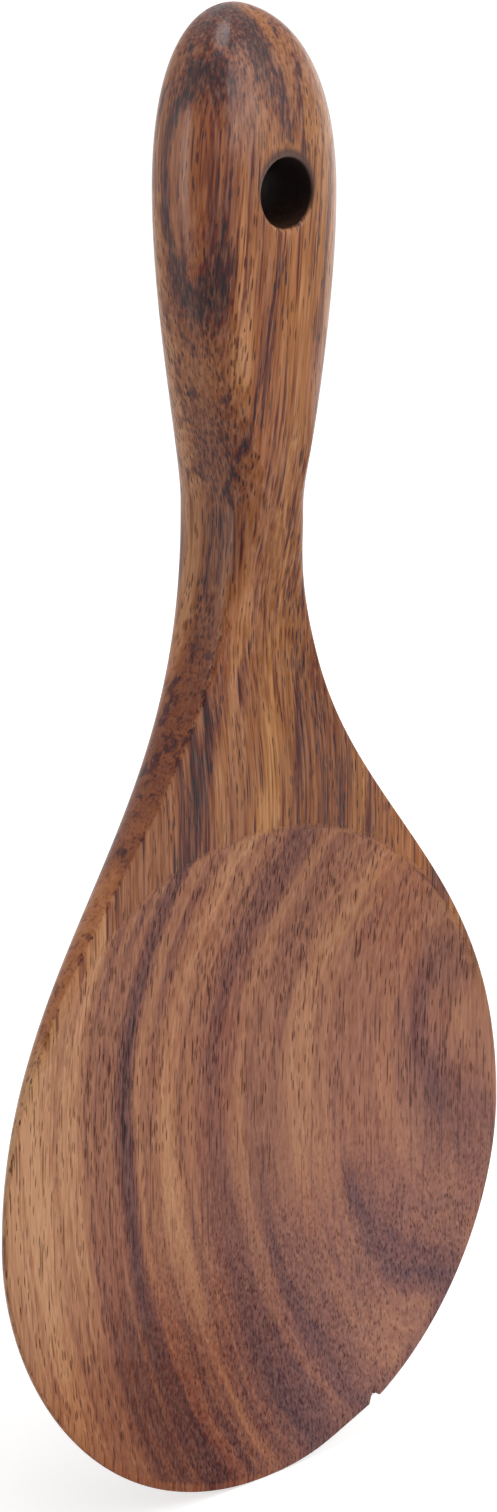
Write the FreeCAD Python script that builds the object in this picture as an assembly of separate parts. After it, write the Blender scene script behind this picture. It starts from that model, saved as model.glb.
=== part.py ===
"""Rice paddle carved from one board of hardwood: a rounded handle, a slim neck and a broad dished blade.

Millimetres. +Z runs up the handle, the dished face looks along -Y, and X goes across the blade.
The origin is the middle of the hanging hole.
"""
import FreeCAD, Part
import math
import os

from FreeCAD import Vector

# Stretches along the paddle, from the lower end of the blade to the tip of the handle
blade_belly_length = 44.0     # lower end to the widest place of the blade
shoulder_length = 92.0        # widest place of the blade to the slimmest place of the neck
grip_length = 40.0            # slimmest place of the neck to the widest place of the handle
tip_length = 24.0             # widest place of the handle to its tip

# Widths across the front
blade_width = 92.0
neck_width = 11.6
handle_width = 24.6

# Thicknesses, measured on the middle plane of the handle where they are depths
handle_thickness = 15.8
neck_back_depth = 9.2         # middle plane to the back of the neck
tip_set_back = 2.2            # the tip lies this far behind the middle plane
face_offset = 2.7             # flat face of the blade in front of the middle plane
blade_thickness = 7.2         # flat face to the back, before the dish is cut
rim_edge_depth = 0.4          # flat face to the line where the blade is widest

# Run-out of the flat face towards the handle
runout_below_neck = 37.5      # the face starts to curve forward this far below the neck
runout_length = 62.0          # height that the two curves take to reach the front of the handle
runout_exit = 0.4             # the curves end this far in front of the handle

# Dish in the blade
rim_width = 1.8               # flat land left at the sides
rim_end_width = 1.5           # flat land left at the lower end
floor_thickness = 3.0         # wood left under the deepest place

# Hanging hole
hole_diameter = 8.9
hole_from_tip = 23.5
hole_chamfer = 0.5

# One overrun for every cut
overrun = 1.0

# How square the cross-sections are: 2 is an ellipse, larger is squarer
handle_squareness = 3.4
blade_squareness = 2.1
dish_low_squareness = 2.0
dish_top_squareness = 2.15
dish_fullness = 2.2           # 2 is a plain bowl, larger has a flatter floor

# Pulls of the outline curve, as shares of the stretch or of the width that they shape
end_pull_share = 0.65
belly_pull_share = 0.43
shoulder_low_pull_share = 0.45
shoulder_top_pull_share = 0.47
grip_low_pull_share = 0.12
grip_top_pull_share = 0.43
tip_side_pull_share = 0.85
tip_end_pull_share = 0.31

# The upper edge of the dish, as a share of the shoulder above the widest place
dish_top_share = 0.52

# Sections of each stretch, and points round each section
SECTIONS_PER_STRETCH = 7
POINTS_PER_RING = 24
DISH_RINGS = 7

# Worked out from the sizes above
blade_half = blade_width / 2
neck_half = neck_width / 2
handle_half = handle_width / 2
half_thickness = handle_thickness / 2
face_y = -face_offset
rim_y = face_y + rim_edge_depth
blade_back_depth = blade_thickness - rim_edge_depth
dish_depth = blade_thickness - floor_thickness
hole_radius = hole_diameter / 2

tip_z = hole_from_tip
handle_z = tip_z - tip_length
neck_z = handle_z - grip_length
widest_z = neck_z - shoulder_length
end_z = widest_z - blade_belly_length


class Section:
    """One level cross-section of the blank, as the sizes that set its ring."""

    FIELDS = ("z", "half_width", "front_depth", "back_depth", "squareness", "middle_y")

    def __init__(self, *values):
        self.values = values

    def pulled(self, other, share, fields):
        """This section with some fields moved a share of the way to another section."""
        moved = []
        for field, mine, theirs in zip(self.FIELDS, self.values, other.values):
            moved.append(mine + (theirs - mine) * share if field in fields else mine)
        return Section(*moved)


LENGTHWISE = ("z",)
CROSSWISE = ("half_width", "front_depth", "back_depth")

blade_end = Section(end_z, 0, 0, 0, blade_squareness, rim_y)
blade_widest = Section(widest_z, blade_half, half_thickness, blade_back_depth, blade_squareness, rim_y)
neck = Section(neck_z, neck_half, half_thickness, neck_back_depth, handle_squareness, 0)
handle = Section(handle_z, handle_half, half_thickness, half_thickness, handle_squareness, 0)
handle_tip = Section(tip_z, 0, 0, 0, handle_squareness, tip_set_back)

# Each stretch is a cubic curve: its start, two pulls and its end
STRETCHES = (
    (blade_end, blade_end.pulled(blade_widest, end_pull_share, CROSSWISE),
     blade_widest.pulled(blade_end, belly_pull_share, LENGTHWISE), blade_widest),
    (blade_widest, blade_widest.pulled(neck, shoulder_low_pull_share, LENGTHWISE),
     neck.pulled(blade_widest, shoulder_top_pull_share, LENGTHWISE), neck),
    (neck, neck.pulled(handle, grip_low_pull_share, LENGTHWISE),
     handle.pulled(neck, grip_top_pull_share, LENGTHWISE), handle),
    (handle, handle.pulled(handle_tip, tip_side_pull_share, LENGTHWISE),
     handle_tip.pulled(handle, tip_end_pull_share, CROSSWISE), handle_tip),
)


def section_on(stretch, t):
    """The section at share t of a stretch."""
    weights = ((1 - t) ** 3, 3 * t * (1 - t) ** 2, 3 * t * t * (1 - t), t ** 3)
    fields = zip(*(section.values for section in stretch))
    return [sum(weight * value for weight, value in zip(weights, field)) for field in fields]


def square_round(low_squareness, high_squareness):
    """Points of a unit circle whose two halves are drawn out towards a square, starting at the side."""
    points = []
    for k in range(POINTS_PER_RING):
        angle = 2 * math.pi * k / POINTS_PER_RING
        across, up = math.cos(angle), math.sin(angle)
        squareness = low_squareness if up < 0 else high_squareness
        reach = (abs(across) ** squareness + abs(up) ** squareness) ** (-1 / squareness)
        points.append((across * reach, up * reach))
    return points


def ring_wire(points):
    """A smooth closed wire through the points, evenly spaced so that all rings match."""
    shares = [k / len(points) for k in range(len(points) + 1)]
    curve = Part.BSplineCurve()
    curve.interpolate(Points=points, PeriodicFlag=True, Parameters=shares)
    return Part.Wire([curve.toShape()])


def blank_ring(z, half_width, front_depth, back_depth, squareness, middle_y):
    points = []
    for across, deep in square_round(squareness, squareness):
        depth = front_depth if deep < 0 else back_depth
        points.append(Vector(half_width * across, middle_y + depth * deep, z))
    return ring_wire(points)


def make_blank():
    """The whole paddle with a rounded front, before its face is cut."""
    rings = []
    for stretch in STRETCHES:
        for k in range(SECTIONS_PER_STRETCH):
            if stretch is STRETCHES[0] and k == 0:
                continue
            rings.append(blank_ring(*section_on(stretch, k / SECTIONS_PER_STRETCH)))
    low_point = Part.Vertex(Vector(0, rim_y, end_z))
    tip_point = Part.Vertex(Vector(0, tip_set_back, tip_z))
    return Part.makeLoft([low_point] + rings + [tip_point], True)


def make_face_cutter():
    """What is sawn off the front: flat over the blade, then an S of two arcs up to the handle."""
    exit_y = -(half_thickness + runout_exit)
    front_y = min(exit_y, rim_y - half_thickness) - overrun
    bottom_z = end_z - overrun
    low_z = neck_z - runout_below_neck
    top_z = low_z + runout_length
    step = face_y - exit_y
    radius = (runout_length ** 2 + step ** 2) / (4 * step)
    turn = math.asin(runout_length / 2 / radius)

    def on_low_arc(angle):
        y = face_y - radius * (1 - math.cos(angle))
        return Vector(0, y, low_z + radius * math.sin(angle))

    def on_top_arc(angle):
        y = exit_y + radius * (1 - math.cos(angle))
        return Vector(0, y, top_z - radius * math.sin(angle))

    corners = [on_top_arc(0), Vector(0, front_y, top_z), Vector(0, front_y, bottom_z),
               Vector(0, face_y, bottom_z), on_low_arc(0)]
    edges = [Part.LineSegment(start, end).toShape() for start, end in zip(corners, corners[1:])]
    edges.append(Part.Arc(on_low_arc(0), on_low_arc(turn / 2), on_low_arc(turn)).toShape())
    edges.append(Part.Arc(on_low_arc(turn), on_top_arc(turn / 2), on_top_arc(0)).toShape())
    profile = Part.Face(Part.Wire(edges))
    width = blade_width + 2 * overrun
    profile.translate(Vector(-width / 2, 0, 0))
    return profile.extrude(Vector(width, 0, 0))


def make_dish_cutter():
    """A bowl whose edge on the flat face follows the rim and closes in an arc above."""
    half_width = blade_half - rim_width
    low_length = blade_belly_length - rim_end_width
    top_length = shoulder_length * dish_top_share
    outer_share = (1 + overrun / dish_depth) ** (1 / dish_fullness)
    size_shares = [k / DISH_RINGS for k in range(1, DISH_RINGS + 1)] + [outer_share]
    rings = []
    for share in size_shares:
        y = face_y + dish_depth * (1 - share ** dish_fullness)
        points = []
        for across, up in square_round(dish_low_squareness, dish_top_squareness):
            length = low_length if up < 0 else top_length
            points.append(Vector(half_width * share * across, y, widest_z + length * share * up))
        rings.append(ring_wire(points))
    deepest = Part.Vertex(Vector(0, face_y + dish_depth, widest_z))
    return Part.makeLoft([deepest] + rings, True)


def make_hole_cutter():
    """The hanging hole along Y, with its edge broken at both faces."""
    length = handle_thickness + 2 * overrun
    hole = Part.makeCylinder(hole_radius, length, Vector(0, -length / 2, 0), Vector(0, 1, 0))
    depth = hole_chamfer + overrun
    for side in (-1, 1):
        start = Vector(0, side * (half_thickness - hole_chamfer), 0)
        flare = Part.makeCone(hole_radius, hole_radius + depth, depth, start, Vector(0, side, 0))
        hole = hole.fuse(flare)
    return hole


def make_paddle():
    paddle = make_blank()
    for cutter in (make_face_cutter(), make_dish_cutter(), make_hole_cutter()):
        paddle = paddle.cut(cutter)
    return paddle


os.makedirs("parts", exist_ok=True)
make_paddle().exportStep("parts/paddle.step")
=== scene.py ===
"""Carved wooden rice paddle: its shape, its wood and a plain studio.

Laid out as an add-on and run as a script.
"""
import math

import bpy
from mathutils import Matrix, Vector


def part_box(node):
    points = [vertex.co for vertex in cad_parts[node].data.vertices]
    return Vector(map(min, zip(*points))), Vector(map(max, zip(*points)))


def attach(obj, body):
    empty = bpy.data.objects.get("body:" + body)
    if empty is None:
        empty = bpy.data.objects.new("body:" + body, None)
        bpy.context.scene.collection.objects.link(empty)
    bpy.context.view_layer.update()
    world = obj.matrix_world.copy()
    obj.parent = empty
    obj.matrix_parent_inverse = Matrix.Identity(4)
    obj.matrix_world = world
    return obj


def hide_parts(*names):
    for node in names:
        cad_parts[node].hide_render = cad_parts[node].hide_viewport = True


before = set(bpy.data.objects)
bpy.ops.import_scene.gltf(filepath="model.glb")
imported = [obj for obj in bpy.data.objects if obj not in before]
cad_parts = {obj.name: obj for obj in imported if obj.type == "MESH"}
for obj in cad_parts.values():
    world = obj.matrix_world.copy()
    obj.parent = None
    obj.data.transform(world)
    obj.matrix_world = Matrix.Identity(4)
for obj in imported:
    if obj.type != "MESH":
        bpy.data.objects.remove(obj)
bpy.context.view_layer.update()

bl_info = {
    "name": "Rice Paddle",
    "version": (1, 0, 0),
    "blender": (4, 5, 0),
    "location": "3D View > Sidebar > Paddle",
    "description": "Carves a wooden rice paddle and sets it in a plain studio",
    "category": "Object",
}

MM = 0.001
PIECE_NAME = "paddle_wood"

# Rows of each stretch of the paddle: belly, shoulder, grip and tip
STRETCH_ROWS = (70, 170, 50, 56)
# Columns of one half of a section: back and side, front edge, front
SIDE_COLUMNS = 44
EDGE_COLUMNS = 6
FRONT_COLUMNS = 66
# Points closer together than this, in metres, become one
MERGE_DISTANCE = 2e-6
# Least depth or half width, in metres, that a section is divided by
LEAST_SIZE = 1e-6

# Least share of the half width at which the edge of the front lies
FRONT_SHARE = 0.85
# Most that the edge's rounding takes of the depth in front and of the half width
EDGE_LIMIT = 0.4
# Least share of the depth in front at which the side ends
SIDE_END = 0.002
# Where the edge gets rounder and sharper again, in millimetres above the neck
NECK_EDGE = (-22.0, -6.0)
HANDLE_EDGE = (2.0, 18.0)
# The sanded place: half its height in millimetres, and the most it takes of the half width
SHAVE_REACH = 3.4
SHAVE_LIMIT = 0.08

# The bar of the hole: half its length in millimetres, its rings and the points of a ring
BORE_REACH = 12.0
BORE_RINGS = 121
BORE_POINTS = 96
# How suddenly the hole flares, and its widest flare as a multiple of its rounding
FLARE_POWER = 2.2
FLARE_LIMIT = 3.0

# The bar of the chip: its sides, its turn, and its set-back as a share of its length
CHIP_SIDES = 6
CHIP_TURN = math.radians(-14.0)
CHIP_SET_BACK = 0.25
# The spike of the crack: its sides, its turn, its depth as a multiple of its width,
# and its place across and up from the middle of the chip as shares of the chip's size
CRACK_SIDES = 8
CRACK_TURN = math.radians(24.0)
CRACK_DEPTH = 6.0
CRACK_ACROSS = -0.4
CRACK_UP = 0.8


def length(name, description, millimetres):
    """A property for a length, given in millimetres and kept in metres."""
    return bpy.props.FloatProperty(name=name, description=description, default=millimetres * MM,
                                   min=0.0, precision=5, unit="LENGTH")


def share(name, description, default):
    """A property for a share or a shape number."""
    return bpy.props.FloatProperty(name=name, description=description, default=default,
                                   min=0.0, soft_max=5.0)


def colour(name, description, default):
    """A property for a colour."""
    return bpy.props.FloatVectorProperty(name=name, description=description, default=default,
                                         size=3, min=0.0, max=1.0, subtype="COLOR")


def power(name, description, watts):
    """A property for the power of a lamp."""
    return bpy.props.FloatProperty(name=name, description=description, default=watts, unit="POWER")


class PaddleSizes(bpy.types.PropertyGroup):
    """Sizes that the paddle is carved from."""

    blade_belly_length: length("Blade Belly Length", "Lower end to the blade's widest place", 44.0)
    shoulder_length: length("Shoulder Length", "Blade's widest place to the neck's slimmest", 92.0)
    grip_length: length("Grip Length", "Neck's slimmest place to the handle's widest", 40.0)
    tip_length: length("Tip Length", "Handle's widest place to its tip", 24.0)
    blade_width: length("Blade Width", "Widest place of the blade", 92.0)
    neck_width: length("Neck Width", "Slimmest place of the neck", 11.6)
    handle_width: length("Handle Width", "Widest place of the handle", 24.6)
    handle_thickness: length("Handle Thickness", "Handle from front to back", 15.8)
    neck_back_depth: length("Neck Back Depth", "Middle plane to the back of the neck", 9.2)
    tip_set_back: length("Tip Set Back", "Tip behind the middle plane", 2.2)
    face_offset: length("Face Offset", "Flat face in front of the middle plane", 2.7)
    blade_thickness: length("Blade Thickness", "Flat face to the back, before the dish is cut", 7.2)
    rim_edge_depth: length("Rim Edge Depth", "Flat face to the line where the blade is widest", 0.4)
    runout_below_neck: length("Run-out Below Neck", "Neck to where the face starts to curve forward", 37.5)
    runout_length: length("Run-out Length", "Height of the two curves that end the face", 62.0)
    runout_exit: length("Run-out Exit", "End of the curves in front of the handle", 0.4)
    rim_width: length("Rim Width", "Flat land at the sides of the dish", 1.8)
    rim_end_width: length("Rim End Width", "Flat land at the lower end of the dish", 1.5)
    dish_depth: length("Dish Depth", "Deepest place of the dish under the flat face", 4.2)
    hole_diameter: length("Hole Diameter", "Hanging hole", 8.9)
    hole_from_tip: length("Hole From Tip", "Middle of the hanging hole to the tip", 23.5)
    hole_flare: length("Hole Flare", "Rounding of the hole's two edges", 0.55)
    chip_across: length("Chip Across", "Chip in the rim, to the right of the middle", 21.3)
    chip_above_end: length("Chip Above End", "Chip in the rim, above the lower end", 5.05)
    chip_size: length("Chip Size", "Radius of the bar that chips the rim", 1.2)
    chip_length: length("Chip Length", "How far the chip goes through the rim", 4.0)
    shave_depth: length("Shave Depth", "Wood sanded off the rim below the chip", 1.3)
    shave_above_end: length("Shave Above End", "Middle of the sanded place, above the lower end", 2.8)
    crack_length: length("Crack Length", "Crack that runs up from the chip", 2.2)
    crack_width: length("Crack Width", "Crack where it starts at the chip", 0.45)
    edge_radius: length("Edge Radius", "Rounding of the edge round the blade", 0.3)
    neck_edge_radius: length("Neck Edge Radius", "Extra rounding of the edge at the neck", 1.5)
    handle_edge_radius: length("Handle Edge Radius", "How much of that rounding ends at the handle", 1.0)
    face_softness: length("Face Softness", "How softly the face runs out into the handle", 0.5)
    dish_softness: length("Dish Softness", "How softly the dish meets the flat face", 0.12)
    handle_squareness: share("Handle Squareness", "2 is an ellipse, larger is squarer", 3.4)
    blade_squareness: share("Blade Squareness", "2 is an ellipse, larger is squarer", 2.1)
    dish_low_squareness: share("Dish Low Squareness", "Lower half of the dish's edge", 2.0)
    dish_top_squareness: share("Dish Top Squareness", "Upper half of the dish's edge", 2.15)
    dish_fullness: share("Dish Fullness", "2 is a plain bowl, larger has a flatter floor", 2.2)
    end_pull: share("End Pull", "Fullness of the lower end", 0.65)
    belly_pull: share("Belly Pull", "Fullness below the widest place", 0.43)
    shoulder_low_pull: share("Shoulder Low Pull", "Fullness above the widest place", 0.45)
    shoulder_top_pull: share("Shoulder Top Pull", "Slimness below the neck", 0.47)
    grip_low_pull: share("Grip Low Pull", "Slimness above the neck", 0.12)
    grip_top_pull: share("Grip Top Pull", "Fullness below the widest place of the handle", 0.43)
    tip_side_pull: share("Tip Side Pull", "Fullness of the tip's sides", 0.85)
    tip_end_pull: share("Tip End Pull", "Bluntness of the tip", 0.31)
    dish_top: share("Dish Top", "Upper edge of the dish as a share of the shoulder", 0.52)


class WoodLook(bpy.types.PropertyGroup):
    """Colours and figure of the oiled wood."""

    heart: colour("Heart Brown", "Darkest layers of the board", (0.070, 0.018, 0.012))
    plum: colour("Plum Brown", "Dark layers", (0.140, 0.042, 0.022))
    russet: colour("Russet", "Middle layers", (0.235, 0.084, 0.036))
    amber: colour("Amber", "Light layers", (0.345, 0.142, 0.056))
    straw: colour("Straw", "Lightest layers", (0.480, 0.238, 0.108))
    red: colour("Red Tint", "Tint of the redder places", (1.0, 0.76, 0.66))
    gold: colour("Gold Tint", "Tint of the golden places of the handle", (1.0, 0.97, 0.80))
    pore: colour("Pore Tint", "Tint of the open pores", (0.20, 0.14, 0.12))
    fleck: colour("Fleck", "How far single fibres are lighter or darker", (0.230, 0.152, 0.124))
    dust: colour("Dry Dish", "Pale bloom on the drier wood of the dish", (0.150, 0.118, 0.140))
    # Colour of the ring round the hole: partly burnt wood, partly painted shade on the top of the rim
    scorch_and_shade: colour("Scorch", "Wood next to the burnt hole", (0.060, 0.020, 0.015))
    char: colour("Char", "Burnt wall of the hole", (0.009, 0.009, 0.010))
    dryness: share("Dryness", "How much bloom the dish has", 0.23)
    roughness: share("Roughness", "Gloss of the oiled surface", 0.36)


class StudioLook(bpy.types.PropertyGroup):
    """Light and floor of the studio."""

    key_power: power("Key Power", "Large soft light", 4.72)
    strip_power: power("Strip Power", "Tall light at the left", 0.65)
    top_power: power("Top Power", "Soft light above", 2.2)
    side_power: power("Side Power", "Soft light at the right", 0.85)
    ambient: share("Ambient", "Strength of the even light from all round", 0.43)
    floor: colour("Floor", "Colour of the floor", (0.74, 0.74, 0.74))


def sum_rule(operation, swapped=False):
    """A rule for a sum with a field as its first term, or as its second one when swapped."""

    def rule(field, other):
        terms = (other, field) if swapped else (field, other)
        return field.nodes.math(operation, *terms)

    return rule


class Field:
    """An output of a node, with which sums can be written."""

    __add__ = sum_rule("ADD")
    __radd__ = sum_rule("ADD", swapped=True)
    __sub__ = sum_rule("SUBTRACT")
    __rsub__ = sum_rule("SUBTRACT", swapped=True)
    __mul__ = sum_rule("MULTIPLY")
    __rmul__ = sum_rule("MULTIPLY", swapped=True)
    __truediv__ = sum_rule("DIVIDE")
    __rtruediv__ = sum_rule("DIVIDE", swapped=True)
    __pow__ = sum_rule("POWER")

    def __init__(self, nodes, socket):
        self.nodes = nodes
        self.socket = socket


class Nodes:
    """A node tree under construction."""

    COLUMN_WIDTH = 190
    ROW_HEIGHT = 170
    ROWS = 14

    def __init__(self, tree):
        self.tree = tree
        self.made = 0

    def add(self, kind, **settings):
        """Adds a node at the next free place of the editor."""
        node = self.tree.nodes.new(kind)
        column, row = divmod(self.made, self.ROWS)
        node.location = (column * self.COLUMN_WIDTH, -row * self.ROW_HEIGHT)
        self.made += 1
        for name, value in settings.items():
            setattr(node, name, value)
        return node

    def feed(self, socket, value):
        """Links a field to an input, or sets the input to a plain value."""
        if isinstance(value, Field):
            self.tree.links.new(value.socket, socket)
        else:
            socket.default_value = value

    def run(self, kind, inputs, output=0, **settings):
        """Adds a node, feeds its inputs by name or number, and gives one of its outputs."""
        node = self.add(kind, **settings)
        for name, value in inputs.items():
            self.feed(node.inputs[name], value)
        return Field(self, node.outputs[output])

    def math(self, operation, *values, clamp=False):
        return self.run("ShaderNodeMath", dict(enumerate(values)), operation=operation, use_clamp=clamp)

    def clamp(self, value):
        return self.math("ADD", value, 0.0, clamp=True)

    def larger(self, a, b):
        return self.math("MAXIMUM", a, b)

    def smaller(self, a, b):
        return self.math("MINIMUM", a, b)

    def soft_larger(self, a, b, softness):
        return self.math("SMOOTH_MAX", a, b, softness)

    def distance(self, a, b):
        return self.math("SQRT", a * a + b * b)

    def mix(self, a, b, factor):
        return a + (b - a) * factor

    def ease(self, value, start, end):
        """0 before the start, 1 past the end and smooth between them; the end may be the lower one."""
        inputs = {"Value": value, "From Min": start, "From Max": end}
        return self.run("ShaderNodeMapRange", inputs, interpolation_type="SMOOTHSTEP")

    def hump(self, value, middle, reach):
        """1 at the middle, falling smoothly to 0 at the reach on both sides."""
        return 1.0 - self.ease(self.math("ABSOLUTE", value - middle), 0.0, reach)

    def humps(self, value, bands):
        """The sum of several humps, each given by its middle, its reach and its strength."""
        total = 0.0
        for middle, reach, strength in bands:
            total = total + self.hump(value, middle, reach) * strength
        return total

    def vector(self, x, y, z):
        return self.run("ShaderNodeCombineXYZ", {0: x, 1: y, 2: z})

    def split(self, vector):
        node = self.add("ShaderNodeSeparateXYZ")
        self.feed(node.inputs[0], vector)
        return [Field(self, socket) for socket in node.outputs]

    def scaled(self, vector, factor):
        return self.run("ShaderNodeVectorMath", {"Vector": vector, "Scale": factor}, operation="SCALE")

    def summed(self, a, b):
        return self.run("ShaderNodeVectorMath", {0: a, 1: b}, operation="ADD")


def fresh_nodes(owner):
    """The emptied node tree of a material or a world."""
    owner.use_nodes = True
    owner.node_tree.nodes.clear()
    return Nodes(owner.node_tree)


def size_inputs(tree, group):
    """Gives the tree one named input for each size, and returns them by property name."""
    sockets = {}
    for key in group.__annotations__:
        prop = group.bl_rna.properties[key]
        socket = tree.interface.new_socket(prop.name, in_out="INPUT", socket_type="NodeSocketFloat")
        socket.default_value = prop.default
        sockets[key] = socket
    return sockets


class Sizes:
    """The group input's outputs, read by property name."""

    def __init__(self, nodes, sockets):
        node = nodes.add("NodeGroupInput")
        for key, socket in sockets.items():
            setattr(self, key, Field(nodes, node.outputs[socket.name]))


class Place:
    """Named levels of the paddle, and where each point of the grid lies along and round it."""

    def __init__(self, n, s):
        self.tip_z = s.hole_from_tip
        self.handle_z = self.tip_z - s.tip_length
        self.neck_z = self.handle_z - s.grip_length
        self.widest_z = self.neck_z - s.shoulder_length
        self.low_z = self.widest_z - s.blade_belly_length
        self.face_y = 0 - s.face_offset
        self.rim_y = self.face_y + s.rim_edge_depth

        self.half_columns = SIDE_COLUMNS + EDGE_COLUMNS + FRONT_COLUMNS
        self.rows = sum(STRETCH_ROWS)
        across, up, _ = n.split(n.run("GeometryNodeInputPosition", {}))
        row = n.math("ROUND", (up + 0.5) * self.rows)
        start = 0
        self.stretch = 0
        first_row = 0
        row_count = STRETCH_ROWS[0]
        for before, after in zip(STRETCH_ROWS, STRETCH_ROWS[1:]):
            start += before
            past = n.math("GREATER_THAN", row, start + 0.5)
            self.stretch = past + self.stretch
            first_row = past * before + first_row
            row_count = past * (after - before) + row_count
        self.t = (row - first_row) / row_count
        self.side = n.math("SIGN", 0 - across)
        column = (1 - n.math("ABSOLUTE", across * 2)) * self.half_columns
        self.side_share = n.clamp(column / SIDE_COLUMNS)
        self.edge_share = n.clamp((column - SIDE_COLUMNS) / EDGE_COLUMNS)
        self.front_share = n.clamp((column - SIDE_COLUMNS - EDGE_COLUMNS) / FRONT_COLUMNS)


def section_sums(n, s, place):
    """The section at each row: half width, middle, height, depth in front and behind, squareness."""
    half_thickness = s.handle_thickness * 0.5
    blade_half = s.blade_width * 0.5
    neck_half = s.neck_width * 0.5
    handle_half = s.handle_width * 0.5
    blade_back = s.blade_thickness - s.rim_edge_depth
    rim_y = place.rim_y

    def cut(half_width, middle, z, front, back, squareness):
        return n.vector(half_width, middle, z), n.vector(front, back, squareness)

    blade = (half_thickness, blade_back, s.blade_squareness)
    slim = (half_thickness, s.neck_back_depth, s.handle_squareness)
    full = (half_thickness, half_thickness, s.handle_squareness)
    low_end = cut(0, rim_y, place.low_z, 0, 0, s.blade_squareness)
    low_out = cut(blade_half * s.end_pull, rim_y, place.low_z, half_thickness * s.end_pull,
                  blade_back * s.end_pull, s.blade_squareness)
    belly = cut(blade_half, rim_y, place.widest_z - s.blade_belly_length * s.belly_pull, *blade)
    widest = cut(blade_half, rim_y, place.widest_z, *blade)
    shoulder_low = cut(blade_half, rim_y, place.widest_z + s.shoulder_length * s.shoulder_low_pull, *blade)
    shoulder_top = cut(neck_half, 0, place.neck_z - s.shoulder_length * s.shoulder_top_pull, *slim)
    neck = cut(neck_half, 0, place.neck_z, *slim)
    grip_low = cut(neck_half, 0, place.neck_z + s.grip_length * s.grip_low_pull, *slim)
    grip_top = cut(handle_half, 0, place.handle_z - s.grip_length * s.grip_top_pull, *full)
    handle = cut(handle_half, 0, place.handle_z, *full)
    tip_side = cut(handle_half, 0, place.handle_z + s.tip_length * s.tip_side_pull, *full)
    tip_depth = half_thickness * s.tip_end_pull
    tip_out = cut(handle_half * s.tip_end_pull, s.tip_set_back, place.tip_z, tip_depth, tip_depth,
                  s.handle_squareness)
    tip_end = cut(0, s.tip_set_back, place.tip_z, 0, 0, s.handle_squareness)
    stretches = ((low_end, low_out, belly, widest), (widest, shoulder_low, shoulder_top, neck),
                 (neck, grip_low, grip_top, handle), (handle, tip_side, tip_out, tip_end))

    t = place.t
    back_t = 1 - t
    weights = (back_t * back_t * back_t, t * back_t * back_t * 3, t * t * back_t * 3, t * t * t)

    def pick(points):
        """The point that belongs to the stretch of the row."""
        node = n.add("GeometryNodeIndexSwitch", data_type="VECTOR")
        while len(node.index_switch_items) < len(points):
            node.index_switch_items.new()
        n.feed(node.inputs["Index"], place.stretch)
        for number, point in enumerate(points):
            n.feed(node.inputs[number + 1], point)
        return Field(n, node.outputs[0])

    sums = []
    for half in range(2):
        total = None
        for corner, weight in enumerate(weights):
            part = n.scaled(pick([stretch[corner][half] for stretch in stretches]), weight)
            total = part if total is None else n.summed(total, part)
        sums.append(total)
    return n.split(sums[0]) + n.split(sums[1])


def face_level(n, s, place, z):
    """The flat face, and the S of two arcs in which it runs out towards the handle."""
    exit_y = 0 - (s.handle_thickness * 0.5 + s.runout_exit)
    step = place.face_y - exit_y
    radius = (s.runout_length * s.runout_length + step * step) / (step * 4)
    half = s.runout_length * 0.5
    rise = n.larger(n.smaller(z - (place.neck_z - s.runout_below_neck), s.runout_length), 0)

    def bow(height):
        return radius - n.math("SQRT", radius * radius - height * height)

    low = place.face_y - bow(n.smaller(rise, half))
    top = bow(half) - bow(n.smaller(s.runout_length - rise, half))
    return low - top


def dish_out(n, s, x, up):
    """How far out in the dish a place lies: 0 in its middle and 1 at its edge."""
    half_width = s.blade_width * 0.5 - s.rim_width
    above = n.math("GREATER_THAN", up, 0)
    squareness = n.mix(s.dish_low_squareness, s.dish_top_squareness, above)
    reach = n.mix(s.blade_belly_length - s.rim_end_width, s.shoulder_length * s.dish_top, above)
    wide = n.math("ABSOLUTE", x) / half_width
    high = n.math("ABSOLUTE", up) / reach
    return (wide ** squareness + high ** squareness) ** (1 / squareness)


def dish_floor(s, out):
    """The floor of the dish, which comes out in front of the flat face beyond the dish's edge."""
    return s.dish_depth * (1 - out ** s.dish_fullness) - s.face_offset


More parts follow.
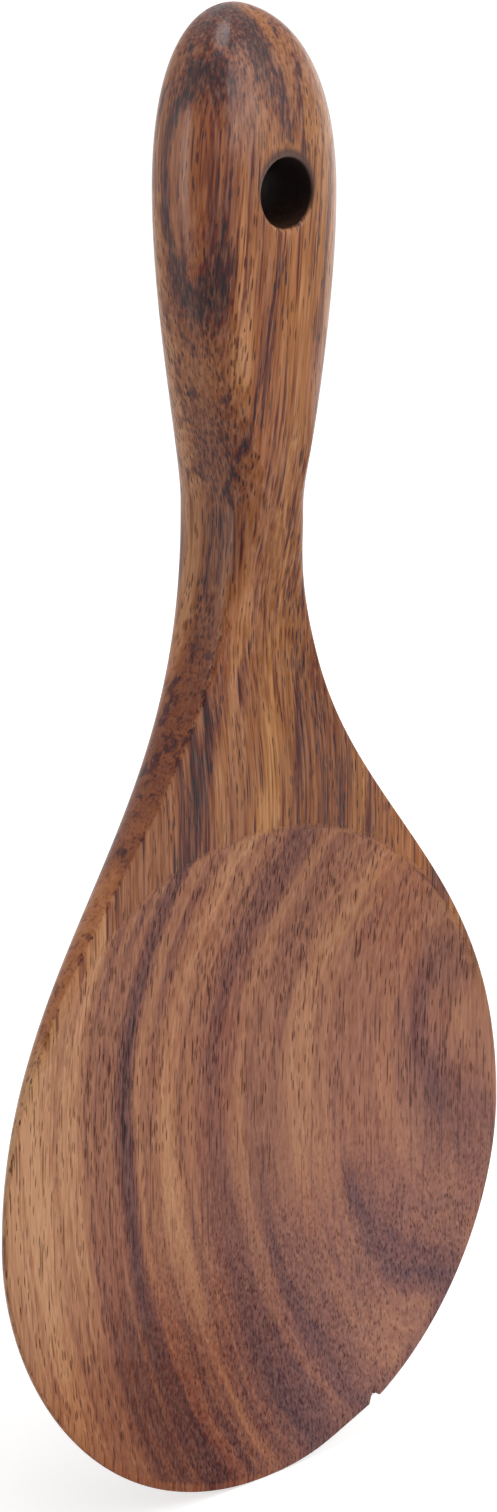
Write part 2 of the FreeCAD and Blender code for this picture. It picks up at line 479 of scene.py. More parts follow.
def paddle_surface(n, s, place):
    """Where each point of the grid goes."""
    half_width, middle, z, front_depth, back_depth, squareness = section_sums(n, s, place)
    sanded = s.shave_depth * n.hump(z, place.low_z + s.shave_above_end, SHAVE_REACH * MM)
    right = n.larger(place.side, 0)
    half_width = half_width - n.smaller(sanded, half_width * SHAVE_LIMIT) * right
    face_y = face_level(n, s, place, z)
    root = 1 / squareness

    def partner(level):
        """The other coordinate of a point on the unit section."""
        return n.larger(1 - n.math("ABSOLUTE", level) ** squareness, 0) ** root

    def near_neck(start, end):
        """0 to 1 between two heights, in millimetres from the neck."""
        return n.ease(z, place.neck_z + start * MM, place.neck_z + end * MM)

    safe_front = n.larger(front_depth, LEAST_SIZE)
    face_deep = n.larger(n.smaller((face_y - middle) / safe_front, 0), -1)
    edge_across = n.larger(partner(face_deep), FRONT_SHARE)
    edge_deep = 0 - partner(edge_across)
    wanted = s.edge_radius + s.neck_edge_radius * near_neck(*NECK_EDGE)
    wanted = wanted - s.handle_edge_radius * near_neck(*HANDLE_EDGE)
    edge_x = half_width * edge_across
    edge_y = middle + front_depth * edge_deep
    radius = n.smaller(n.smaller(wanted, front_depth * EDGE_LIMIT), edge_x * EDGE_LIMIT)

    side_deep = n.smaller(edge_deep + radius / safe_front, -SIDE_END)
    side_end = n.math("ARCTAN2", side_deep, partner(side_deep))
    angle = n.mix(math.pi / 2, side_end, place.side_share)
    across = n.math("COSINE", angle)
    deep = n.math("SINE", angle)
    spread = n.math("ABSOLUTE", across) ** squareness + n.math("ABSOLUTE", deep) ** squareness
    reach = spread ** (0 - root)
    in_front = n.math("LESS_THAN", deep, 0)
    depth = n.mix(back_depth, front_depth, in_front)
    side_x = half_width * n.larger(across, 0) * reach
    side_y = middle + depth * deep * reach

    front_x = (edge_x - radius) * (1 - place.front_share)
    blank_y = middle - front_depth * partner(front_x / n.larger(half_width, LEAST_SIZE))
    flat_y = n.soft_larger(blank_y, face_y, s.face_softness)
    dish_y = dish_floor(s, dish_out(n, s, front_x, z - place.widest_z))
    front_y = n.soft_larger(flat_y, dish_y, s.dish_softness)

    t = place.edge_share
    back_t = 1 - t
    weights = (back_t * back_t, t * back_t * 2, t * t)
    x = side_x * weights[0] + edge_x * weights[1] + front_x * weights[2]
    y = side_y * weights[0] + edge_y * weights[1] + front_y * weights[2]
    return n.vector(x * place.side, y, z)


def hole_cutter(n, s):
    """A bar along Y that flares where it leaves the handle."""
    reach = BORE_REACH * MM
    line = n.run("GeometryNodeCurvePrimitiveLine", {"Start": (0, -reach, 0), "End": (0, reach, 0)})
    line = n.run("GeometryNodeResampleCurve", {"Curve": line, "Count": BORE_RINGS})
    _, y, _ = n.split(n.run("GeometryNodeInputPosition", {}))
    past = n.math("ABSOLUTE", y) - (s.handle_thickness * 0.5 - s.hole_flare)
    flare = (n.larger(past, 0) / s.hole_flare) ** FLARE_POWER * s.hole_flare
    radius = s.hole_diameter * 0.5 + n.smaller(flare, s.hole_flare * FLARE_LIMIT)
    ring = n.run("GeometryNodeCurvePrimitiveCircle", {"Resolution": BORE_POINTS, "Radius": 1})
    sweep = {"Curve": line, "Profile Curve": ring, "Scale": radius, "Fill Caps": True}
    return n.run("GeometryNodeCurveToMesh", sweep)


def placed(n, shape, place, turn, size=(1, 1, 1)):
    """A shape that is stretched, turned and moved to its place."""
    moves = {"Geometry": shape, "Translation": place, "Rotation": turn, "Scale": size}
    return n.run("GeometryNodeTransform", moves)


def chip_cutter(n, s, place):
    """A six-sided bar along Y that chips the lower right rim."""
    sizes = {"Vertices": CHIP_SIDES, "Radius": s.chip_size, "Depth": s.chip_length}
    bar = n.run("GeometryNodeMeshCylinder", sizes)
    back = place.rim_y + s.chip_length * CHIP_SET_BACK
    middle = n.vector(s.chip_across, back, place.low_z + s.chip_above_end)
    return placed(n, bar, middle, (math.pi / 2, CHIP_TURN, 0))


def crack_cutter(n, s, place):
    """A flat spike that runs up the face from the chip."""
    sizes = {"Vertices": CRACK_SIDES, "Radius Bottom": s.crack_width * 0.5, "Depth": s.crack_length}
    spike = n.run("GeometryNodeMeshCone", sizes)
    across = s.chip_across + s.chip_size * CRACK_ACROSS
    up = place.low_z + s.chip_above_end + s.chip_size * CRACK_UP
    start = n.vector(across, place.face_y, up)
    return placed(n, spike, start, (0, CRACK_TURN, 0), (1, CRACK_DEPTH, 1))


def paddle_tree(material):
    """The node tree that carves the paddle out of a plain grid."""
    tree = bpy.data.node_groups.new("Carved Paddle", "GeometryNodeTree")
    tree.is_modifier = True
    sockets = size_inputs(tree, PaddleSizes)
    tree.interface.new_socket("Geometry", in_out="OUTPUT", socket_type="NodeSocketGeometry")
    n = Nodes(tree)
    s = Sizes(n, sockets)
    place = Place(n, s)
    counts = {"Vertices X": 2 * place.half_columns + 1, "Vertices Y": place.rows + 1}
    grid = n.run("GeometryNodeMeshGrid", {"Size X": 1, "Size Y": 1, **counts})
    carved = n.run("GeometryNodeSetPosition", {"Geometry": grid, "Position": paddle_surface(n, s, place)})
    carved = n.run("GeometryNodeMergeByDistance", {"Geometry": carved, "Distance": MERGE_DISTANCE})
    carved = n.run("GeometryNodeFlipFaces", {"Mesh": carved})
    for cutter in (hole_cutter(n, s), chip_cutter(n, s, place), crack_cutter(n, s, place)):
        carved = n.run("GeometryNodeMeshBoolean", {"Mesh 1": carved, "Mesh 2": cutter},
                       operation="DIFFERENCE", solver="MANIFOLD")
    smooth = n.run("GeometryNodeSetShadeSmooth", {0: carved, "Shade Smooth": True})
    real = n.run("GeometryNodeRealizeInstances", {"Geometry": smooth})
    done = n.run("GeometryNodeSetMaterial", {"Geometry": real, "Material": material})
    n.feed(n.add("NodeGroupOutput").inputs[0], done)
    return tree, sockets


# Layers of the wood: place in millimetres and how light the layer is
WOOD_LAYERS = (
    (-13, 0.80), (-10.8, 0.90), (-9.8, 0.80), (-8.7, 0.74), (-7.5, 0.84), (-6.8, 0.46), (-6, 0.54),
    (-5.7, 0.42), (-5.1, 0.50), (-4.5, 0.17), (-4.1, 0.20), (-3.6, 0.62), (-2.5, 0.48), (-1.7, 0.86),
    (-1.05, 0.50), (-0.7, 0.56), (0.1, 0.32), (0.6, 0.34), (1.5, 0.60), (2.1, 0.45), (2.7, 0.47),
    (3.3, 0.62), (4.1, 0.64), (4.5, 0.52), (4.84, 0.12), (5.3, 0.56), (6.1, 0.60), (6.6, 0.38),
    (7.2, 0.55), (8.5, 0.64), (10, 0.32), (12, 0.65),
)
# How the layers' lightness is stretched and lifted, on the blade and on the handle
BLADE_CONTRAST, BLADE_LIFT = 1.12, 0.03
HANDLE_CONTRAST, HANDLE_LIFT = 0.5, 0.38

# Heights in millimetres over which the wood of one part changes into that of the next
FLAT_TO_BLADE = (-98, -112)
BACK_TO_BLADE = (-62, -155)
NECK_TO_HANDLE = (-80, -46)

# Soft bands: middle, reach and how much lighter they are
# Those of the lower end of the blade go by layer, the neck's by depth and the handle's by height
LOW_BANDS = (
    (-8, 1.5, -0.10), (-6.4, 1.4, -0.12), (-4.15, 0.85, -0.30), (-3.1, 0.7, 0.08),
    (-1.9, 0.9, -0.14), (-0.7, 0.7, 0.10),
)
NECK_STRIPES = ((-3.8, 3, 0.30), (0.4, 2.6, -0.06), (5, 4, 0.16))
HANDLE_PATCHES = ((-38, 14, -0.08), (-22, 8, 0.16), (-12.5, 8, -0.12))

# Round spots seen from the front: place across and up, reach in millimetres, and how squat they are
PALE_SPOT = (29, -162, 14, 1)
DARK_EYE = (36, -128, 10, 1.4)
TIP_BLOT = (-1.4, 19, 3, 0.6)
TIP_SHADE = (-5.6, 20, 3.2, 1)

# The dark arc of the dish: its layer
ARC_LAYER = 4.84
# The handle's dark ring: its middle, and its reach back, down and up in millimetres
RING_Y, RING_Z = -2.6, 1.5
RING_BACK, RING_DOWN, RING_UP = 4.6, 15, 12.5
# Lean of the handle's fibres, dark strands and tip streak, and the height that each leans about
FIBRE_LEAN, FIBRE_LEVEL = 0.10, -20
STRAND_LEAN, STRAND_LEVEL = 0.19, -23
TIP_LEAN, TIP_LEVEL = -0.20, 19

# Noise in the wood: cells per millimetre across, back and up
SWAY_CELLS = (0.05, 0.05, 0.016)
RIPPLE_CELLS = (0.35, 0.35, 0.05)
BEND_CELLS = (0.10, 0.10, 0.035)
BLOTCH_CELLS = (0.09, 0.09, 0.022)
RED_CELLS = (0.06, 0.06, 0.02)
STREAK_CELLS = (0.9, 0.5, 0.035)
STRAND_CELLS = (2.6, 0.3, 0.03)
LINE_CELLS = (1, 0.2, 0.014)
CLUSTER_CELLS = (1.3, 0.04, 0.03)
FIBRE_CELLS = (2.2, 2.2, 0.10)
DISH_FIBRE_CELLS = (2.2, 2.2, 0.30)
FIBRE_END_CELLS = (2.2, 2.2, 1.1)

# Open pores: width and height of a cell in millimetres, and its shift back and up
SHORT_PORES = (0.34, 2.2, 0, 0)
LONG_PORES = (0.40, 8, 40, 0)
DOT_PORES = (0.32, 0.9, 0, 60)
HAIR_PORES = (0.36, 26, 80, 0)

# The burnt hole, in millimetres: reach and rise of the dark ring round it, which is partly scorched wood
# and partly painted shade on the top of the rim, and start and end of the char
SCORCH_AND_SHADE_REACH, SCORCH_AND_SHADE_RISE = 1, 0.7
CHAR_START, CHAR_END = 0.3, -0.1

# Relief of the fibres and pores: its strength and its height in metres
RELIEF_STRENGTH = 0.35
RELIEF_HEIGHT = 0.00012


def ramp(n, value, stops):
    """A colour ramp through stops, each a place from 0 to 1 and a colour."""
    node = n.add("ShaderNodeValToRGB")
    elements = node.color_ramp.elements
    while len(elements) < len(stops):
        elements.new(0.5)
    for number, (place, _) in enumerate(stops):
        elements[number].position = place
    for number, (_, tint) in enumerate(stops):
        elements[number].color = (*tint, 1)
    n.feed(node.inputs["Fac"], value)
    return Field(n, node.outputs["Color"])


def blend(n, factor, base, tint, kind="MIX"):
    """Mixes a plain colour into another one."""
    return n.run("ShaderNodeMix", {"Factor": factor, 6: base, 7: (*tint, 1)}, output=2,
                 data_type="RGBA", blend_type=kind)


def noise(n, point, cells, detail=2, roughness=0.5, shift=0):
    """Noise from 0 to 1, with so many cells per millimetre on each axis."""
    across, back, up = (along * count for along, count in zip(point, cells))
    where = n.vector(across + shift, back, up)
    inputs = {"Vector": where, "Scale": 1, "Detail": detail, "Roughness": roughness}
    return n.run("ShaderNodeTexNoise", inputs, output="Fac", noise_dimensions="3D")


def adjusted(value, *changes):
    """A value, changed in each masked place by an amount."""
    for mask, amount in changes:
        value = value + mask * amount
    return value


class Board:
    """A place in the board, in millimetres, with the wood's layers and masks of the paddle's parts."""

    def __init__(self, n, vector, sizes):
        self.n = n
        self.x, self.y, self.z = n.split(n.scaled(vector, 1 / MM))
        self.point = (self.x, self.y, self.z)
        self.out, self.dish = self.dish_masks(vector, sizes)
        self.blade = n.larger(self.dish, self.up(*FLAT_TO_BLADE))
        self.handle = self.up(*NECK_TO_HANDLE)
        self.sway = noise(n, self.point, SWAY_CELLS, detail=1) - 0.5
        self.ripple = noise(n, self.point, RIPPLE_CELLS) - 0.5
        self.layer = self.layers()

        # Lower half of the blade, its lower end, its lower left lip and its left edge above the dish
        self.deep = self.up(-125, -165)
        self.low = self.up(-142, -160) * self.blade
        self.lip = n.ease(self.out, 1, 1.02) * self.up(-160, -168) * self.across(10, -6)
        left_of_flat = self.across(0, -6) * self.up(-50, -62) * (1 - self.blade)
        self.edge = self.back(-2.65, -2.2) * left_of_flat

        # Left side of the handle, with a closed dark ring and the wood inside it
        self.left = self.across(-4, -7.5) * self.up(-74, -58)
        ring_out = self.ring_out()
        self.inside = n.ease(ring_out, 1, 0.7) * self.left
        self.ring = n.hump(ring_out, 1.02, 0.36) * self.left

        # Dark eye at the right of the dish
        self.eye = self.spot(*DARK_EYE) * self.blade

        # Fibres, which lean on the handle, and the part of the dish where their ends show
        self.slant = self.x - (self.z - FIBRE_LEVEL) * FIBRE_LEAN * self.handle
        self.slanted = (self.slant, self.y, self.z)
        self.ends = self.up(-120, -150) * self.across(-34, -8)

    def across(self, start, end):
        """0 to 1 between two places across the paddle."""
        return self.n.ease(self.x, start, end)

    def back(self, start, end):
        """0 to 1 between two depths."""
        return self.n.ease(self.y, start, end)

    def up(self, start, end):
        """0 to 1 between two heights."""
        return self.n.ease(self.z, start, end)

    def spot(self, across, up, reach, squatness):
        """1 in the middle of a round spot on the front, falling smoothly to 0 at its reach."""
        wide = self.x - across
        high = self.z - up
        away = self.n.math("SQRT", wide * wide + high * high * squatness)
        return self.n.hump(away, 0, reach)

    def dish_masks(self, vector, sizes):
        """How far out in the dish a place lies, and a mask of the wood right behind the dish's floor."""
        n = self.n
        x, y, z = n.split(vector)
        widest_z = sizes.hole_from_tip - sizes.tip_length - sizes.grip_length - sizes.shoulder_length
        out = dish_out(n, sizes, x, z - widest_z)
        behind_floor = (y - dish_floor(sizes, out)) / MM
        return out, n.ease(out, 1.005, 0.985) * n.ease(behind_floor, 1.8, 0.9)

    def layers(self):
        """The layer of wood: upright in handle, neck and flat, and bent in the blade."""
        n = self.n
        bend = (noise(n, self.point, BEND_CELLS, shift=3) - 0.5) * 2.2
        upright = self.handle_layer() + bend
        in_front, behind = self.up(*FLAT_TO_BLADE), self.up(*BACK_TO_BLADE)
        bent_share = n.larger(self.dish, n.mix(in_front, behind, self.back(1.5, 4)))
        return n.mix(upright, self.blade_layer(), bent_share) + self.sway * 0.9 + self.ripple * 0.5

    def blade_layer(self):
        """Layers of the blade: nearly level with its face, tilted to one side and gently warped."""
        half_width, level, height, reach = 46, -132.5, 73.6, 1.6
        x = self.x / half_width
        z = self.n.math("TANH", (self.z - level) / height) * reach
        tilt = x * 10.2 + z * 1.1
        bow = z * z * 1.4 - x * x * 0.3 - x * z * 0.5
        warp = x * x * z - z * z * z * 1.2
        return self.y + tilt + bow + warp

    def handle_layer(self):
        """Layers of the flat, neck and handle: upright, and closer together where the neck is slim."""
        half_width = adjusted(6, (self.up(-47, -82), 5.5), (self.up(-42, 0), 6.5))
        turn_behind = self.n.larger(self.y - 0.5, 0) * 0.25
        return self.x / half_width * 2.33 - 1.97 + turn_behind

    def ring_out(self):
        """How far out from the middle of the handle's dark ring a place lies: 1 on the ring."""
        n = self.n
        above = n.math("GREATER_THAN", self.z, RING_Z)
        high = (self.z - RING_Z) / n.mix(RING_DOWN, RING_UP, above)
        wide = (self.y - RING_Y) / RING_BACK
        return n.distance(high, wide) + (self.sway + self.ripple) * 0.5


def blade_tone(b):
    """How light the layers are, with the marks of the blade."""
    n = b.n
    first, last = WOOD_LAYERS[0][0], WOOD_LAYERS[-1][0]
    stops = [((at - first) / (last - first), (light, light, light)) for at, light in WOOD_LAYERS]
    plain = ramp(n, (b.layer - first) / (last - first), stops)
    on_blade = plain * BLADE_CONTRAST + BLADE_LIFT - b.deep * 0.25
    tone = n.mix(on_blade, plain * HANDLE_CONTRAST + HANDLE_LIFT, b.handle)

    # The dark arc of the dish fades at its top, and the wood on both sides of it is darker
    arc_top = n.hump(b.layer, ARC_LAYER, 0.5) * b.up(-143, -133)
    below_arc = n.hump(b.layer, 3.5, 1.1) * n.hump(b.z, -146, 10)
    within_arc = n.ease(b.layer, 4.9, 5.4) * n.hump(b.z, -144, 12)
    in_dish = adjusted(-0.02, (arc_top, 0.36), (below_arc, -0.10), (within_arc, -0.10),
                       (b.spot(*PALE_SPOT), 0.20))
    tone = adjusted(tone, (in_dish, b.dish), (n.humps(b.layer, LOW_BANDS) - 0.02, b.low))
    tone = n.mix(tone, 0.62, b.lip * 0.7)
    return n.mix(tone, n.larger(tone - 0.10, 0.42), b.edge)


def side_tone(b, tone):
    """Marks on the left side: stripes on the neck, and the ring and patches of the handle."""
    n = b.n
    neck = n.hump(b.z, -50, 18) * b.across(-3, -5)
    behind = b.back(2, 4.5)
    return adjusted(tone, (n.humps(b.y, NECK_STRIPES), neck), (b.inside, 0.17), (b.ring, -0.48),
                    (b.left, 0.04), (b.left * behind, 0.22),
                    (n.humps(b.z, HANDLE_PATCHES), b.left * (1 - behind)))


def front_tone(b, tone):
    """Marks on the handle's front: a light strip at its left and a lighter right side, each partly lighter
    wood and partly painted sheen, dark strands and a dark tip.
    """
    n = b.n
    # Light strip inside the left edge: partly lighter wood, partly painted sheen
    strip = n.hump(b.x, -7.3, 2.8) * b.back(-5, -6.8) * b.up(-30, -14)
    askew = b.x - (b.z - STRAND_LEVEL) * STRAND_LEAN
    bundle = n.hump(askew, -4.2, 2.3) * n.hump(b.z, -18, 18) * b.back(-4.5, -6.5)
    strands = n.ease(noise(n, (askew, b.y, b.z), STRAND_CELLS, 2, 0.6), 0.42, 0.60)
    tip_streak = n.hump(b.x - (b.z - TIP_LEVEL) * TIP_LEAN, -1.8, 3.2) * b.up(4, 8)
    # Lighter middle and right side: partly golden wood, partly painted sheen towards the right edge
    middle = b.across(-2, 4) * b.up(-30, -10)
    right = b.across(4, 8) * b.up(-46, -30)
    return adjusted(tone, (strip, 0.34), (bundle * strands, -0.55), (middle, 0.05), (right, 0.10),
                    (tip_streak, -0.48), (b.up(6, 16), -0.18), (b.spot(*TIP_BLOT), -0.50),
                    (b.spot(*TIP_SHADE), -0.30))


def pore_dashes(b, kind, crowd):
    """Open pores of one kind: dark dashes along the wood, one at most in each cell."""
    n = b.n
    width, height, shift_back, shift_up = kind
    node = n.add("ShaderNodeTexVoronoi", voronoi_dimensions="3D", feature="F1")
    cell = n.vector(b.slant / width, (b.y + shift_back) / width, (b.z + shift_up) / height)
    n.feed(node.inputs["Vector"], cell)
    n.feed(node.inputs["Scale"], 1)
    distance = Field(n, node.outputs["Distance"])
    chance, depth, _ = n.split(Field(n, node.outputs["Color"]))
    kept = n.ease(chance - crowd, 0.08, -0.08)
    return (1 - n.ease(distance, 0.32, 0.46)) * kept * (depth * 0.5 + 0.5)


def open_pores(b, tone, blotch):
    """Pores, which crowd in the darker layers: dashes, or dots where the ends of the fibres show."""
    n = b.n
    cluster = noise(n, (b.layer, b.x, b.z), CLUSTER_CELLS, detail=1) - 0.5
    crowd = adjusted(0.30, (n.ease(tone, 0.66, 0.22), 0.65), (cluster, 1.1), (blotch - 0.5, 0.5),
                     (b.handle, -0.08), (b.left, 0.15), (b.eye, 0.4), (b.edge, -0.6),
                     (b.up(8, 16), -0.35))
    dashes = n.larger(pore_dashes(b, SHORT_PORES, crowd), pore_dashes(b, LONG_PORES, crowd * 0.35 + 0.10))
    dots = pore_dashes(b, DOT_PORES, crowd + 0.10) * 0.75
    return n.mix(dashes, dots, b.ends) * (1 - b.dish * 0.12)


def fibre_noise(b):
    """Single fibres: shorter in the dish, and shortest where their ends show."""
    n = b.n
    cells = [n.mix(plain, dish, b.dish) for plain, dish in zip(FIBRE_CELLS, DISH_FIBRE_CELLS)]
    along = noise(n, b.slanted, cells, 3, 0.65)
    ends = noise(n, b.slanted, FIBRE_END_CELLS, 3, 0.65)
    return n.mix(n.mix(along, ends, b.ends * b.dish), 0.5, b.edge * 0.6)


def lined_tone(b, tone, fibre, blotch):
    """The tone with its fine lines, streaks, fibres, blotches and hair-thin pores."""
    n = b.n
    course = n.mix(b.slant * 1.3, b.layer * 2.4, b.blade)
    lines = noise(n, (course, b.y, b.z), LINE_CELLS, 3, 0.6)
    streak = n.ease(noise(n, b.slanted, STREAK_CELLS, 2, 0.6), 0.52, 0.70)
    line_strength = b.blade * 0.25 + b.dish * 0.30 + 0.50
    return adjusted(tone, (lines - 0.5, line_strength), (n.ease(lines, 0.58, 0.70), -0.25),
                    (streak * (1 - b.blade), -0.50), (fibre - 0.5, 0.30), (blotch - 0.5, 0.25),
                    (pore_dashes(b, HAIR_PORES, 0.30), -0.30))


def red_places(b):
    """Where the wood is redder."""
    n = b.n
    red = n.ease(noise(n, b.point, RED_CELLS, shift=7), 0.46, 0.70)
    places = ((b.inside, 1.9), (b.left, 0.8), (b.edge, 1.4), (b.lip, 1.4),
              (n.hump(b.layer, -3.4, 1.6) * b.deep, 1.8), (b.low * b.across(20, -5), 0.7))
    for mask, amount in places:
        red = n.larger(red, mask * amount)
    return red


def board_grain_group(sizes):
    """Layers, lines and pores of the board, as masks over Object coordinates."""
    tree = bpy.data.node_groups.new("Board Grain", "ShaderNodeTree")
    tree.interface.new_socket("Vector", in_out="INPUT", socket_type="NodeSocketVector")
    n = Nodes(tree)
    b = Board(n, Field(n, n.add("NodeGroupInput").outputs["Vector"]), sizes)
    tone = front_tone(b, side_tone(b, blade_tone(b)))
    tone = n.larger(tone - b.eye * 0.16, 0.08)
    fibre = fibre_noise(b)
    blotch = noise(n, b.point, BLOTCH_CELLS)
    results = {
        "Tone": lined_tone(b, tone, fibre, blotch),
        "Fibre": fibre,
        "Pores": open_pores(b, tone, blotch),
        "Redness": red_places(b),
        "Gold": n.larger(b.across(-5, 0) * (1 - b.blade), b.inside),
        "Dish": n.larger(b.dish, b.up(-108, -122) * b.back(-1.9, -2.3)),
    }
    for name in results:
        tree.interface.new_socket(name, in_out="OUTPUT", socket_type="NodeSocketFloat")
    end = n.add("NodeGroupOutput")
    for name, value in results.items():
        n.feed(end.inputs[name], value)
    return tree


def dish_bloom(n, x, z):
    """How pale the dry dish is: more so at the lower right, less so at the lower left."""
    more = n.ease(x, -20, 30) * n.ease(z, -90, -150)
    less = n.ease(x, 15, -10) * n.ease(z, -140, -160)
    return adjusted(1, (more, 1.1), (less, -0.7))


def oiled_wood(look, sizes):
    """Banded hardwood with an oiled finish, drier in the dish, burnt at the hole, and with painted shade
    on the top of the hole's rim.
    """
    material = bpy.data.materials.new("Oiled Wood")
    n = fresh_nodes(material)
    point = n.run("ShaderNodeTexCoord", {}, output="Object")
    grain = n.add("ShaderNodeGroup", node_tree=board_grain_group(sizes))
    n.feed(grain.inputs["Vector"], point)
    tone, fibre, pores, redness, gold, dish = (Field(n, socket) for socket in grain.outputs)
    x, _, z = n.split(n.scaled(point, 1 / MM))

    steps = (look.heart, look.plum, look.russet, look.amber, look.straw)
    wood = ramp(n, tone, [(number / (len(steps) - 1), step) for number, step in enumerate(steps)])
    wood = blend(n, redness * 0.5, wood, look.red, "MULTIPLY")
    wood = blend(n, gold, wood, look.gold, "MULTIPLY")
    wood = blend(n, dish * dish_bloom(n, x, z) * look.dryness, wood, look.dust, "ADD")
    wood = blend(n, pores, wood, look.pore, "MULTIPLY")
    flecks = n.scaled(tuple(look.fleck), (fibre - 0.5) * (1.7 - dish * 0.58))
    wood = n.run("ShaderNodeVectorMath", {0: n.summed(wood, flecks), 1: tuple(look.char)},
                 operation="MAXIMUM")

    hole_radius = sizes.hole_diameter / 2 / MM
    # A dark ring round the hole, raised so that the top of the rim is darker: partly scorched wood, partly
    # painted shade
    halo_distance = n.distance(x, z - SCORCH_AND_SHADE_RISE)
    halo = n.ease(halo_distance, hole_radius + SCORCH_AND_SHADE_REACH, hole_radius)
    burn = n.ease(n.distance(x, z), hole_radius + CHAR_START, hole_radius + CHAR_END)
    wood = blend(n, halo * 0.92, wood, look.scorch_and_shade)
    wood = blend(n, burn, wood, look.char)

    # The coat of oil is thick at the tip of the handle, and thin at the neck and in the dish
    polish = adjusted(0.26, (n.ease(z, -14, 10), 0.25), (n.hump(z, -58, 28), -0.16), (dish, -0.18))
    rough = adjusted(look.roughness, (fibre - 0.5, 0.16), (pores, 0.12), (dish, 0.16), (burn, 0.3))
    height = (fibre - 0.5) * 0.35 - pores
    relief = {"Height": height, "Strength": RELIEF_STRENGTH, "Distance": RELIEF_HEIGHT}
    finish = {
        "Base Color": wood,
        "Roughness": rough,
        "Normal": n.run("ShaderNodeBump", relief),
        "Specular IOR Level": 0.10 - burn * 0.08,
        "IOR": 1.5,
        "Coat Weight": polish * (1 - burn),
        "Coat Roughness": n.ease(z, 12, 20) * 0.10 + 0.22,
    }
    shader = n.run("ShaderNodeBsdfPrincipled", finish)
    n.feed(n.add("ShaderNodeOutputMaterial").inputs["Surface"], shader)
    return material


class PADDLE_OT_carve(bpy.types.Operator):
    """Carve the paddle with its dish and hanging hole"""

    bl_idname = "paddle.carve"
    bl_label = "Carve Paddle"

    def execute(self, context):
        sizes = context.scene.paddle_sizes
        material = oiled_wood(context.scene.paddle_wood, sizes)
        tree, sockets = paddle_tree(material)
        piece = bpy.data.objects.new(PIECE_NAME, bpy.data.meshes.new(PIECE_NAME))
        modifier = piece.modifiers.new("Carving", "NODES")
        modifier.node_group = tree
        for key, socket in sockets.items():
            modifier[socket.identifier] = getattr(sizes, key)
        context.scene.collection.objects.link(piece)
        graph = context.evaluated_depsgraph_get()
        mesh = bpy.data.meshes.new_from_object(piece.evaluated_get(graph), depsgraph=graph)
        piece.modifiers.clear()
        piece.data = mesh
        mesh.name = PIECE_NAME
        if not mesh.polygons:
            raise RuntimeError("the paddle came out empty")
        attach(piece, "root")
        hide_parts("paddle")
        return {"FINISHED"}


# Camera that the view of the paddle was matched with
CAMERA_PLACE = (-0.37805, -0.39371, 0.06207)
CAMERA_TARGET = (0.0, 0.0, -0.07481)
CAMERA_ROLL = math.radians(-0.376)
CAMERA_SENSOR = 24.0
CAMERA_LENS = 67.61
CAMERA_REACH = (0.01, 50.0)

# Lamps, which all look at the middle of the paddle: name, place, width and height
LAMP_TARGET = (0.0, 0.0, -0.08)
LAMPS = (
    ("key", (0.28, -0.80, 0.42), 0.8, 0.8),
    ("strip", (-0.56, 0.46, -0.03), 0.04, 0.45),
    ("top", (0.0, -0.1, 0.7), 0.34, 0.34),
    ("side", (0.63, -0.03, -0.02), 0.5, 0.5),
)

# The floor's half size, its glow below the paddle, and how much and from where to where the glow grows
FLOOR_REACH = 6.0
FLOOR_GLOW, FLOOR_GLOW_GROWTH = 0.54, 0.22
FLOOR_GLOW_NEAR, FLOOR_GLOW_FAR = 0.05, 0.7


def aim_matrix(position, target, roll):
    """A camera or lamp at a position that looks at a target."""
    forward = (Vector(target) - Vector(position)).normalized()
    right = forward.cross(Vector((0.0, 0.0, 1.0))).normalized()
    up = right.cross(forward)
    turned_right = right * math.cos(roll) + up * math.sin(roll)
    turned_up = up * math.cos(roll) - right * math.sin(roll)
    axes = Matrix((turned_right, turned_up, -forward)).transposed().to_4x4()
    return Matrix.Translation(position) @ axes


def soft_lamp(name, position, width, height, watts):
    """A soft lamp that looks at the paddle."""
    light = bpy.data.lights.new(name, "AREA")
    light.shape = "RECTANGLE"
    light.size = width
    light.size_y = height
    light.energy = watts
    lamp = bpy.data.objects.new(name, light)
    lamp.matrix_world = aim_matrix(position, LAMP_TARGET, 0.0)
    return lamp


def matched_camera():
    """The camera that shows the paddle as it was matched."""
    lens = bpy.data.cameras.new("camera")
    lens.sensor_fit = "VERTICAL"
    lens.sensor_height = CAMERA_SENSOR
    lens.lens = CAMERA_LENS
    lens.clip_start, lens.clip_end = CAMERA_REACH
    camera = bpy.data.objects.new("camera", lens)
    camera.matrix_world = aim_matrix(CAMERA_PLACE, CAMERA_TARGET, CAMERA_ROLL)
    return camera


def seen_rays(n):
    """1 where the camera, a reflection or glass sees a surface, and 0 where it only lights others."""
    node = n.add("ShaderNodeLightPath")
    names = ("Is Camera Ray", "Is Glossy Ray", "Is Transmission Ray")
    camera, glossy, through = (Field(n, node.outputs[name]) for name in names)
    return n.larger(n.larger(camera, glossy), through)


def pale_floor(studio):
    """Matt paint that glows where it is seen, so that it looks white and still takes a shadow."""
    material = bpy.data.materials.new("Pale Floor")
    n = fresh_nodes(material)
    x, y, _ = n.split(n.run("ShaderNodeTexCoord", {}, output="Object"))
    growth = n.ease(n.distance(x, y), FLOOR_GLOW_NEAR, FLOOR_GLOW_FAR)
    strength = seen_rays(n) * (growth * FLOOR_GLOW_GROWTH + FLOOR_GLOW)
    paint = n.run("ShaderNodeBsdfDiffuse", {"Color": (*studio.floor, 1.0)})
    glow = n.run("ShaderNodeEmission", {"Strength": strength})
    both = n.run("ShaderNodeAddShader", {0: paint, 1: glow})
    n.feed(n.add("ShaderNodeOutputMaterial").inputs["Surface"], both)
    return material


def studio_world(studio):
    """Even white light, which is weaker where it lights things than where it is seen."""
    world = bpy.data.worlds.new("Studio")
    n = fresh_nodes(world)
    strength = n.mix(studio.ambient, 1.0, seen_rays(n))
    sky = n.run("ShaderNodeBackground", {"Color": (1.0, 1.0, 1.0, 1.0), "Strength": strength})
    n.feed(n.add("ShaderNodeOutputWorld").inputs["Surface"], sky)
    return world


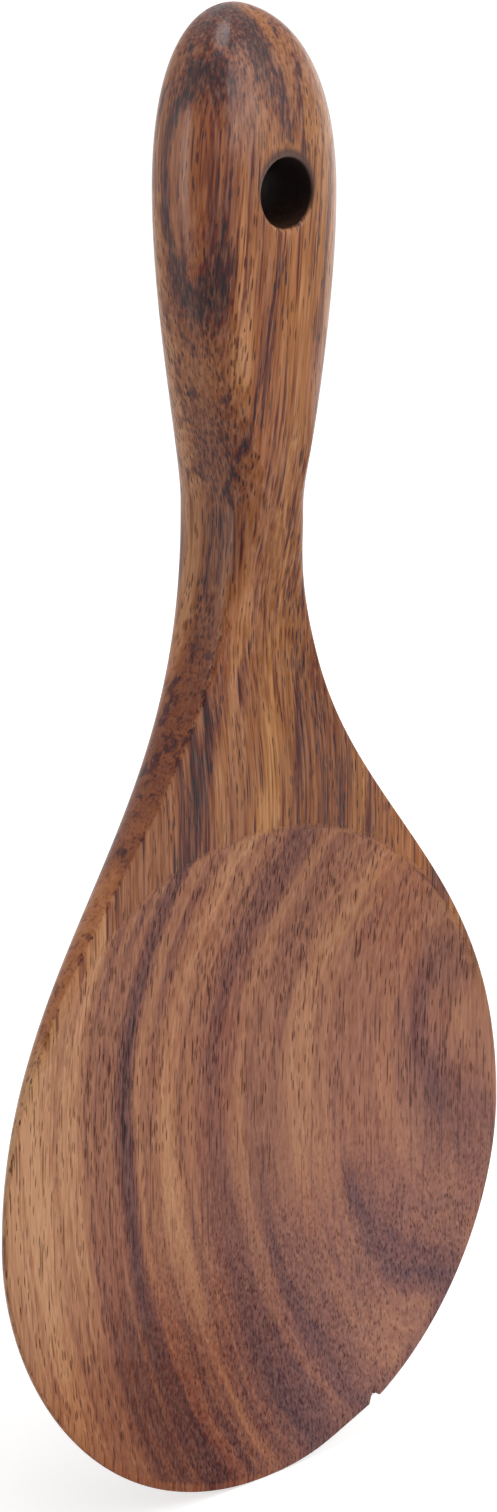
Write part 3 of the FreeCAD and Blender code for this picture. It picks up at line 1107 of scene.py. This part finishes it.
class PADDLE_OT_stage(bpy.types.Operator):
    """Set up the floor, the lamps and the camera"""

    bl_idname = "paddle.stage"
    bl_label = "Set Stage"

    def execute(self, context):
        scene = context.scene
        studio = scene.paddle_studio
        floor_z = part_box("paddle")[0].z
        mesh = bpy.data.meshes.new("floor")
        signs = ((-1, -1), (1, -1), (1, 1), (-1, 1))
        corners = [(x * FLOOR_REACH, y * FLOOR_REACH, floor_z) for x, y in signs]
        mesh.from_pydata(corners, [], [(0, 1, 2, 3)])
        mesh.materials.append(pale_floor(studio))
        floor = bpy.data.objects.new("floor", mesh)
        scene.collection.objects.link(floor)

        scene.world = studio_world(studio)
        for name, position, width, height in LAMPS:
            watts = getattr(studio, name + "_power")
            scene.collection.objects.link(soft_lamp(name, position, width, height, watts))
        camera = matched_camera()
        scene.collection.objects.link(camera)
        scene.camera = camera
        scene.view_settings.view_transform = "Standard"
        return {"FINISHED"}


class PADDLE_PT_panel(bpy.types.Panel):
    """Sizes, colours and steps of the paddle"""

    bl_idname = "PADDLE_PT_panel"
    bl_label = "Rice Paddle"
    bl_space_type = "VIEW_3D"
    bl_region_type = "UI"
    bl_category = "Paddle"

    def draw(self, context):
        layout = self.layout
        for operator in OPERATORS:
            layout.operator(operator.bl_idname)
        for name, group in GROUPS.items():
            box = layout.box()
            for key in group.__annotations__:
                box.prop(getattr(context.scene, name), key)


OPERATORS = (PADDLE_OT_carve, PADDLE_OT_stage)
GROUPS = {"paddle_sizes": PaddleSizes, "paddle_wood": WoodLook, "paddle_studio": StudioLook}
CLASSES = (*GROUPS.values(), *OPERATORS, PADDLE_PT_panel)


def register():
    for cls in CLASSES:
        bpy.utils.register_class(cls)
    for name, group in GROUPS.items():
        setattr(bpy.types.Scene, name, bpy.props.PointerProperty(type=group))


def unregister():
    for name in GROUPS:
        delattr(bpy.types.Scene, name)
    for cls in reversed(CLASSES):
        bpy.utils.unregister_class(cls)


def main():
    register()
    bpy.ops.paddle.carve()
    bpy.ops.paddle.stage()


if __name__ == "__main__":
    main()
